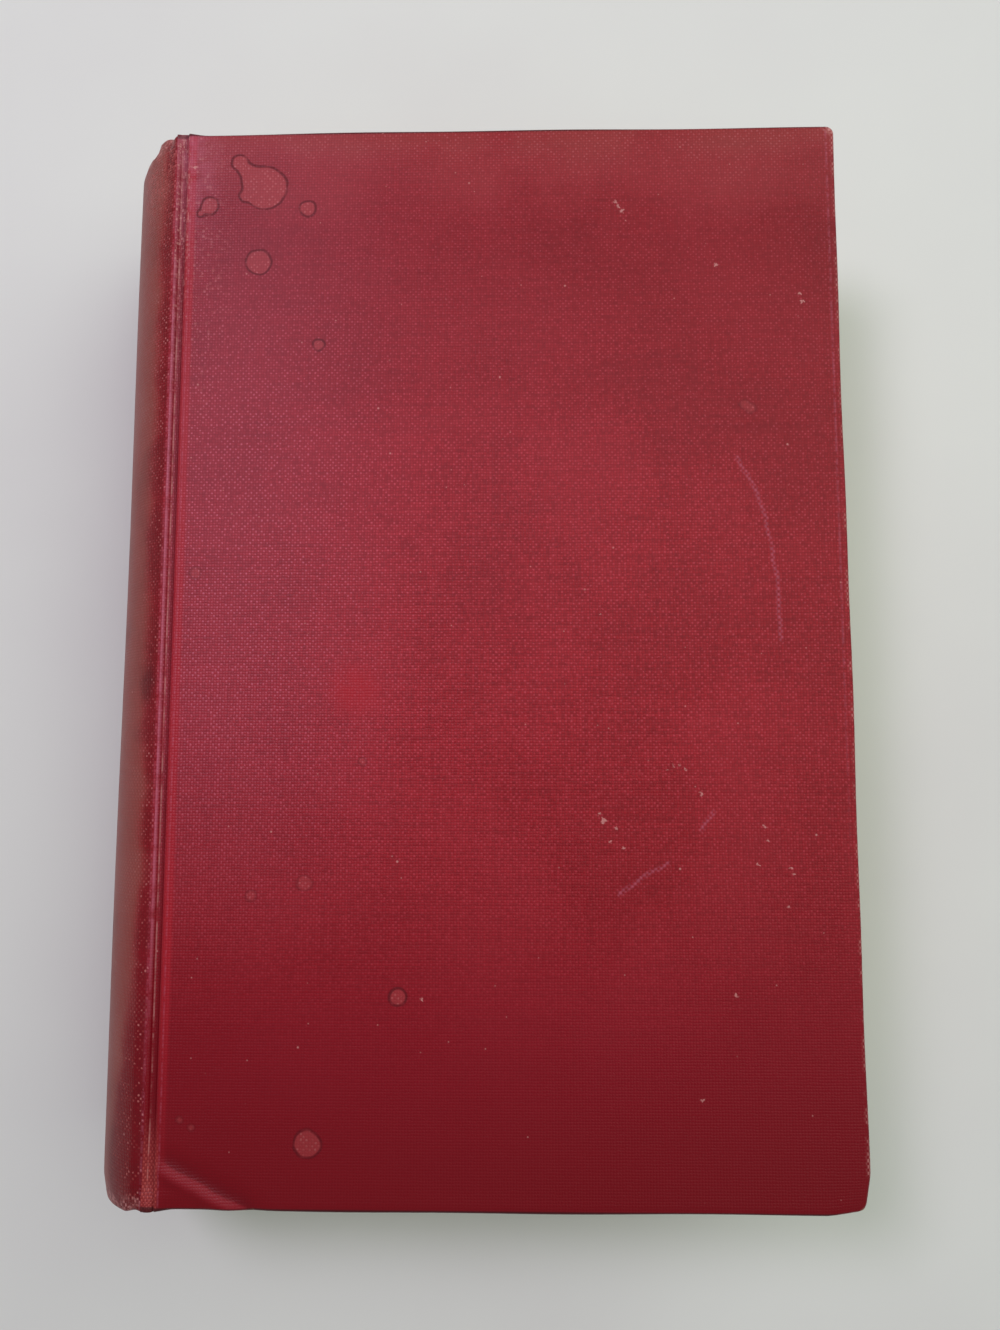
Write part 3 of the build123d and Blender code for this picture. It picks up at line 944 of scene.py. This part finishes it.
def cover_marks(tree, shade, spot, place_on, over, chance, colours):
    """Painted shade towards the sides and the head, dusty head edge, painted sheen with dust beside the joint, bright
    dye beside the joint, rubbed crest, pale worn edges and corners, and dark lines at the ends: soil at the head,
    painted shade at the tail.
    """
    across, along, up = place_on
    clouds = add(tree, "TexNoise", {"Vector": spot, "Scale": 1 / COVER_CLOUDS, "Detail": 3.0})
    lumps = add(tree, "TexNoise", {"Vector": spot, "Scale": 1 / LUMPS, "Detail": 3.0})
    fibres = add(tree, "TexNoise", {"Vector": spot, "Scale": 1 / FIBRES, "Detail": 2.0})
    ragged = add(tree, "Math", {0: clouds, 1: 26.0, 2: along}, operation="MULTIPLY_ADD")
    from_middle = away_from(tree, across, 12.0)
    end = HEAD_Y / MM + 13
    joint = JOINT_X / MM
    hinge = HINGE_X / MM
    stitches = (over, 0.2, 0.9), (chance, 0.0, 1.0)
    beside = (across, joint + 62, joint + 8)
    strip = (across, joint + 1.9, joint + 1.1), (across, hinge + 0.6, hinge + 1.2)
    shade = lay(
        tree, shade,
        # Painted shade: darker towards both sides
        (colours.cloth_dark, 0.17, (from_middle, 25, 75)),
        # Painted shade: darker towards the head
        (colours.cloth_dark, 0.42, (along, 15, 95)),
        (colours.faded, 0.24, (ragged, end - 26, end - 2)),
        (colours.sunned, 0.25, (ragged, end - 8, end + 1)),
        # Painted sheen: a faint pink beside the joint
        (colours.dust_and_sheen, 0.1, beside, (along, -75, -10)),
        # Partly dust, partly painted sheen: pale thread tops beside the joint
        (colours.dust_and_sheen, 0.36, beside, (along, -75, 0), (along, 105, 45), *stitches),
        (colours.rubbed, 0.13, (ragged, end - 14, end), *stitches),
        (colours.rubbed, 0.2, (across, joint + 12, joint + 3), (chance, 0.8, 1.0), (along, 30, 100)),
        (colours.fresh, 0.65, *strip, (along, -125, -60)),
    )
    for line, reach, *coat in (
        (hinge + 0.4, 0.55, colours.cloth_dark, 0.6, (lumps, 0.2, 0.4)),
        (hinge - 0.45, 0.22, colours.rubbed, 0.45, (lumps, 0.35, 0.6)),
        (hinge - 1.35, 0.6, colours.dust_and_sheen, 0.5, (lumps, 0.25, 0.55), (along, -95, -45), (along, 112, 75)),
        (joint + 0.35, 0.3, colours.dust_and_sheen, 0.2, (fibres, 0.3, 0.7)),
        (FORE_X / MM - 1.9, 0.35, colours.dust_and_sheen, 0.22, (along, -70, 20), (fibres, 0.35, 0.62)),
    ):
        shade = lay(tree, shade, (*coat, (away_from(tree, across, line), reach, 0.3 * reach)))
    from_end = short_of(tree, along, HEAD_Y)
    from_fore = add(tree, "Math", {0: FORE_X / MM, 1: across}, operation="SUBTRACT")
    outward = away_from(tree, up, MID_Z / MM)
    arris = away_from(tree, outward, COVER_LOW.z / 2 / MM)
    outer_arris = (outward, MID_Z / MM - 1.5, MID_Z / MM - 0.6)
    corner = add(tree, "Math", {0: from_end, 1: from_fore}, operation="ADD")
    tail_joint = (along, -97, -113), (across, joint + 0.5, joint - 0.3)
    return lay(
        tree, shade,
        # Partly dust, partly painted sheen: pink at the head of the joint, beside it and in it
        (colours.dust_and_sheen, 0.25, (along, 78, 112), (across, joint + 9, joint + 2), (lumps, 0.25, 0.6)),
        (colours.dust_and_sheen, 0.2, (along, 106, 115), (across, joint + 2.5, joint), (fibres, 0.3, 0.55)),
        (colours.rubbed, 0.45, (along, 55, 108), (across, joint + 0.8, joint - 0.3), (chance, 0.55, 0.95)),
        (colours.chafed, 0.25, *tail_joint),
        (colours.chafed, 0.6, *tail_joint, (over, 0.1, 0.6)),
        (colours.rubbed, 0.5, (from_fore, 1.2, 0.3), (lumps, 0.42, 0.62), (arris, 0.8, 1.6), (over, -0.5, 0.4)),
        # Dark lines at the ends of the boards: soil at the head, painted shade on the rounded tail edge
        (colours.soil_and_shade, 0.35, (from_end, 0.75, 0.25)),
        (colours.soil_and_shade, 0.75, (from_end, 0.9, 0.4), outer_arris),
        (colours.rubbed, 0.9, (corner, 4.2, 1.6), (fibres, 0.35, 0.6)),
    )


def spine_marks(tree, shade, spot, place_on, over, chance, colours):
    """Daylight fading round the spine, rubbed thread on its shoulders and caps."""
    across, along, up = place_on
    turn = away_from(tree, turn_round(tree, across, up), 0.0)
    turn = add(tree, "Math", {0: turn}, operation="DEGREES")
    clouds = add(tree, "TexNoise", {"Vector": spot, "Scale": 1 / SPINE_CLOUDS, "Detail": 3.0})
    lumps = add(tree, "TexNoise", {"Vector": spot, "Scale": 1 / LUMPS, "Detail": 3.0})
    ragged = add(tree, "Math", {0: clouds, 1: 18.0, 2: turn}, operation="MULTIPLY_ADD")
    tail = add(tree, "MapRange", {0: along, "From Min": -60, "From Max": -117, "To Max": 17.0})
    ragged = add(tree, "Math", {0: ragged, 1: tail}, operation="ADD")
    smudge = add(tree, "CombineXYZ", {"X": ragged, "Y": along})
    smudge = spot_distance(tree, smudge, SPINE_SMUDGE)
    from_end = short_of(tree, along, CAP_Y)
    fold = away_from(tree, from_end, 2.3)
    return lay(
        tree, shade,
        (colours.sunned, 0.85, (ragged, 69, 58)),
        (colours.soil_and_shade, 0.22, (clouds, 0.5, 0.72)),
        (colours.rubbed, 0.1, (clouds, 0.46, 0.3), (over, -0.5, 0.8)),
        (colours.cloth_dark, 0.5, (ragged, 62, 69), (turn, 62.0, 60.5)),
        (colours.soil_and_shade, 0.15, (turn, 54.5, 58.5), (turn, 62.0, 60.0), (lumps, 0.3, 0.62)),
        (colours.chafed, 0.6, (ragged, 58, 70), (over, 0.2, 0.9), (chance, 0.2, 1.0), (lumps, 0.3, 0.6)),
        (colours.rubbed, 0.4, (turn, 44, 58), (over, 0.1, 0.8), (chance, 0.7, 1.0), (lumps, 0.35, 0.62)),
        (colours.dust_and_sheen, 0.2, (turn, 60.5, 62.0), (chance, 0.0, 0.8), (lumps, 0.2, 0.5)),
        (colours.chafed, 0.55, (along, 94, 110), (turn, 26, 44), (chance, 0.2, 0.9), (lumps, 0.3, 0.6)),
        (colours.soil_and_shade, 0.5, (smudge, 4.0, -2.0)),
        (colours.rubbed, 0.32, (fold, 0.9, 0.1), (chance, 0.2, 0.9), (lumps, 0.35, 0.6)),
        (colours.rubbed, 0.55, (from_end, 2.6, 0.5), (chance, 0.1, 0.9), (lumps, 0.35, 0.6)),
    )


def book_cloth(name, part):
    """Starch-filled cotton book cloth, plain woven and dyed: dull, with fine threads, faded and rubbed, with painted
    shade towards the tail and painted sheen on the thread tops.

    The real threads lie about 0.5 mm apart. They are drawn 0.62 mm apart, so that they show."""
    material, tree, colours, spot = new_material(name, bends=True)
    place_on = [add(tree, "SeparateXYZ", {0: spot}, out=axis) for axis in "XYZ"]
    along = place_on[1]
    over, threads, lines, chance = plain_weave(tree, THREAD_PITCH)
    clouds = add(tree, "TexNoise", {"Vector": spot, "Scale": 1 / 32, "Detail": 4.0})
    shade = lay(
        tree, colours.cloth_dark,
        (colours.cloth, 1.0, (threads, -0.6, 0.7)),
        (colours.cloth_light, 0.8, (over, 0.35, 0.95), (chance, -0.1, 0.9)),
        (colours.cloth_light, 0.2, (chance, 0.6, 1.0)),
        (colours.cloth_dark, 0.4, (chance, 0.4, 0.0)),
        (colours.cloth_dark, 0.3, (lines, 0.42, 0.62)),
        (colours.cloth_light, 0.15, (clouds, 0.38, 0.66)),
        (colours.cloth_dark, 0.18, (clouds, 0.5, 0.3)),
        # Painted shade: darker and deeper red towards the tail
        (colours.cloth_dark, 0.25, (along, -14, -60)),
        (colours.deep, 0.8, (along, -45, -95)),
        (colours.cloth_dark, 0.85, (along, -70, -122)),
    )
    if part == "spine":
        shade = spine_marks(tree, shade, spot, place_on, over, chance, colours)
    else:
        shade = cover_marks(tree, shade, spot, place_on, over, chance, colours)
    if part == "front":
        shade = front_marks(tree, shade, spot, place_on[2], over, chance, colours)
    shade = lay(
        tree, shade,
        (colours.cloth_dark, 0.25, (threads, 0.55, 0.0)),
        # Partly dust, partly painted sheen on the thread tops, fading out towards the tail
        (colours.dust_and_sheen, 0.11, (over, 0.4, 0.95), (chance, 0.1, 1.0), (along, -90, 0)),
    )
    for scale, radius, share in ((0.13, 0.045, 0.6), (0.23, 0.055, 0.45)):
        near = add(tree, "TexVoronoi", {"Vector": spot, "Scale": scale}, out="Distance")
        strength = near.node.outputs["Color"]
        shade = lay(tree, shade, (colours.rubbed, share, (near, radius, radius / 3), (strength, 0.3, 0.5)))
    dull = add(tree, "MapRange", {0: clouds, "To Min": 0.34, "To Max": 0.44})
    relief = add(tree, "Bump", {"Height": threads, "Strength": 0.4, "Distance": 0.12 * MM})
    return surface(material, shade, dull, gloss=0.18, relief=relief)


def page_paper():
    """Uncoated book paper seen on its cut edges: matt, cream, with fine lines where leaves lie unevenly."""
    material, tree, colours, spot = new_material("page_edges")
    along = add(tree, "SeparateXYZ", {0: spot}, out="Y")
    stacked = add(tree, "VectorMath", {0: spot, 1: (0.02, 0.02, 5.0)}, operation="MULTIPLY")
    leaves = add(tree, "TexNoise", {"Vector": stacked, "Scale": 1.0, "Detail": 4.0, "Roughness": 0.7})
    clouds = add(tree, "TexNoise", {"Vector": spot, "Scale": 1 / 30, "Detail": 3.0})
    shade = lay(
        tree, colours.paper,
        (colours.paper_edge, 0.75, (leaves, 0.32, 0.7)),
        (colours.paper_edge, 0.4, (clouds, 0.35, 0.75)),
        (colours.paper_edge, 0.35, (along, PAGES_HIGH.y / MM - 0.8, PAGES_HIGH.y / MM - 0.3)),
    )
    relief = add(tree, "Bump", {"Height": leaves, "Strength": 0.5, "Distance": 0.2 * MM})
    return surface(material, shade, 0.9, gloss=0.2, relief=relief)


def endpaper():
    """Uncoated endpaper: matt cream with toned borders, small fox marks and a faint cockle."""
    material, tree, colours, spot = new_material("endpaper_stock", bends=True)
    across, along = (add(tree, "SeparateXYZ", {0: spot}, out=axis) for axis in "XY")
    fibres = add(tree, "TexNoise", {"Vector": spot, "Scale": 1 / 1.2, "Detail": 5.0})
    clouds = add(tree, "TexNoise", {"Vector": spot, "Scale": 1 / 25, "Detail": 3.0})
    from_middle = away_from(tree, along, 0.0)
    near = add(tree, "TexVoronoi", {"Vector": spot, "Scale": 0.06}, out="Distance")
    chance = near.node.outputs["Color"]
    shade = lay(
        tree, colours.paper,
        (colours.paper_edge, 0.3, (fibres, 0.3, 0.8)),
        (colours.paper_edge, 0.55, (across, 40, FORE_X / MM), (clouds, 0.2, 0.8)),
        (colours.paper_edge, 0.55, (from_middle, 75, HEAD_Y / MM), (clouds, 0.2, 0.8)),
        (colours.kraft, 0.45, (near, 0.09, 0.02), (chance, 0.55, 0.7)),
    )
    relief = add(tree, "Bump", {"Height": clouds, "Strength": 0.4, "Distance": 0.8 * MM})
    return surface(material, shade, 0.88, gloss=0.2, relief=relief)


def band_thread():
    """Cotton thread wound round a cord: matt, in two colours by turns of four windings."""
    material, tree, colours, spot = new_material("band_cotton")
    across, up = (add(tree, "SeparateXYZ", {0: spot}, out=axis) for axis in "XZ")
    stripes = add(tree, "Math", {0: turn_round(tree, across, up), 1: 33.0}, operation="MULTIPLY")
    stripes = add(tree, "Math", {0: stripes}, operation="SINE")
    clouds = add(tree, "TexNoise", {"Vector": spot, "Scale": 1 / 4, "Detail": 3.0})
    shade = lay(
        tree, colours.band_light,
        (colours.band_dark, 1.0, (stripes, -0.15, 0.15)),
        (colours.paper_edge, 0.35, (clouds, 0.4, 0.8)),
    )
    return surface(material, shade, 0.85)


def millboard():
    """Grey-brown millboard: matt, with coarse fibres."""
    material, tree, colours, spot = new_material("grey_millboard")
    fibres = add(tree, "TexNoise", {"Vector": spot, "Scale": 1 / 0.8, "Detail": 5.0})
    shade = lay(tree, colours.board, (colours.kraft, 0.8, (fibres, 0.3, 0.8)))
    return surface(material, shade, 0.92)


def kraft_paper(name):
    """Brown kraft paper: matt, with fine fibres."""
    material, tree, colours, spot = new_material(name)
    fibres = add(tree, "TexNoise", {"Vector": spot, "Scale": 1 / 1.5, "Detail": 4.0})
    shade = lay(tree, colours.kraft, (colours.board, 0.8, (fibres, 0.3, 0.8)))
    return surface(material, shade, 0.85)


def mull_cotton():
    """Starched open cotton: pale and matt, with threads 1 mm apart."""
    material, tree, colours, spot = new_material("starched_mull")
    turns = add(tree, "VectorMath", {0: spot, "Scale": math.pi}, operation="SCALE")
    waves = add(tree, "VectorMath", {0: turns}, operation="SINE")
    weave = add(tree, "VectorMath", {0: waves}, out="Value", operation="LENGTH")
    shade = lay(tree, colours.paper_edge, (colours.mull, 1.0, (weave, 0.3, 1.2)))
    return surface(material, shade, 0.9)


def table_top():
    """Matt painted table top: pale and even."""
    material, tree, colours, spot = new_material("pale_paint")
    clouds = add(tree, "TexNoise", {"Vector": spot, "Scale": 1 / 90, "Detail": 3.0})
    shade = lay(tree, colours.floor, (linear("c8c8c4"), 0.3, (clouds, 0.3, 0.8)))
    return surface(material, shade, 0.7, gloss=0.2)


# Stage

# Camera: its place from the middle of the front board in millimetres, and its turn in degrees
CAMERA_PLACE = 2.47, -26.99, 214.86
CAMERA_TURN = 5.848, 1.277, -0.006


class BOOK_OT_stage(bpy.types.Operator):
    """Pale table, soft lamps and the camera above the front cover"""

    bl_idname = "book.stage"
    bl_label = "Stage"

    def execute(self, context):
        stage = context.scene.book_stage
        floor = start_piece("table", bpy.ops.mesh.primitive_plane_add, size=4.0)
        bpy.ops.object.mode_set(mode="OBJECT")
        floor.data.materials.append(table_top())
        across, along, up = (distance * MM for distance in CAMERA_PLACE)
        bpy.ops.object.camera_add(
            location=((JOINT_X + FORE_X) / 2 + across, along, TOP_Z + up),
            rotation=[math.radians(degrees) for degrees in CAMERA_TURN],
        )
        camera = context.active_object
        camera.data.sensor_fit = "VERTICAL"
        camera.data.sensor_height = 36.0
        camera.data.lens = stage.lens
        camera.data.clip_start = 0.01
        context.scene.camera = camera
        lamps = (
            ("key_lamp", (0.5, 0.3, 0.8), 1.1, stage.key_power, "fcfff8"),
            ("side_lamp", (-0.3, 0.3, 0.8), 0.25, stage.side_power, "f4e2ff"),
        )
        for name, spot, size, power, tone in lamps:
            aim = Vector((0, 0, TOP_Z)) - Vector(spot)
            bpy.ops.object.light_add(type="AREA", location=spot, rotation=aim.to_track_quat("-Z", "Y").to_euler())
            lamp = context.active_object
            lamp.name = name
            lamp.data.size = size
            lamp.data.energy = power
            lamp.data.color = linear(tone)[:3]
        world = bpy.data.worlds.new("soft_room")
        world.use_nodes = True
        background = world.node_tree.nodes["Background"]
        background.inputs["Color"].default_value = linear("fbfcff")
        background.inputs["Strength"].default_value = stage.fill
        context.scene.world = world
        context.scene.view_settings.view_transform = "Standard"
        return {"FINISHED"}


class BOOK_PT_panel(bpy.types.Panel):
    """Sidebar list of the book's pieces and their settings"""

    bl_idname = "BOOK_PT_panel"
    bl_label = "Worn Hardback Book"
    bl_space_type = "VIEW_3D"
    bl_region_type = "UI"
    bl_category = "Book"

    def draw(self, context):
        for piece in PIECES:
            self.layout.operator(piece.bl_idname)
        for name, group in GROUPS.items():
            box = self.layout.box()
            for key in group.__annotations__:
                box.prop(getattr(context.scene, name), key)


PIECES = (
    BOOK_OT_stage,
    BOOK_OT_cover_cloth,
    BOOK_OT_spine_cloth,
    BOOK_OT_spine_inlay,
    BOOK_OT_pages,
    BOOK_OT_endpapers,
    BOOK_OT_bands,
    BOOK_OT_inner_layers,
)
GROUPS = {"book_shape": BookShape, "book_colours": BookColours, "book_stage": BookStage}


def register():
    for name, group in GROUPS.items():
        bpy.utils.register_class(group)
        setattr(bpy.types.Scene, name, PointerProperty(type=group))
    for cls in (*PIECES, BOOK_PT_panel):
        bpy.utils.register_class(cls)


def unregister():
    for cls in (BOOK_PT_panel, *reversed(PIECES)):
        bpy.utils.unregister_class(cls)
    for name, group in reversed(GROUPS.items()):
        delattr(bpy.types.Scene, name)
        bpy.utils.unregister_class(group)


def main():
    """Registers the add-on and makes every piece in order."""
    register()
    bpy.ops.book.stage()
    bpy.ops.book.cover_cloth()
    bpy.ops.book.spine_cloth()
    bpy.ops.book.spine_inlay()
    bpy.ops.book.pages()
    bpy.ops.book.endpapers()
    bpy.ops.book.bands()
    bpy.ops.book.inner_layers()


if __name__ == "__main__":
    main()
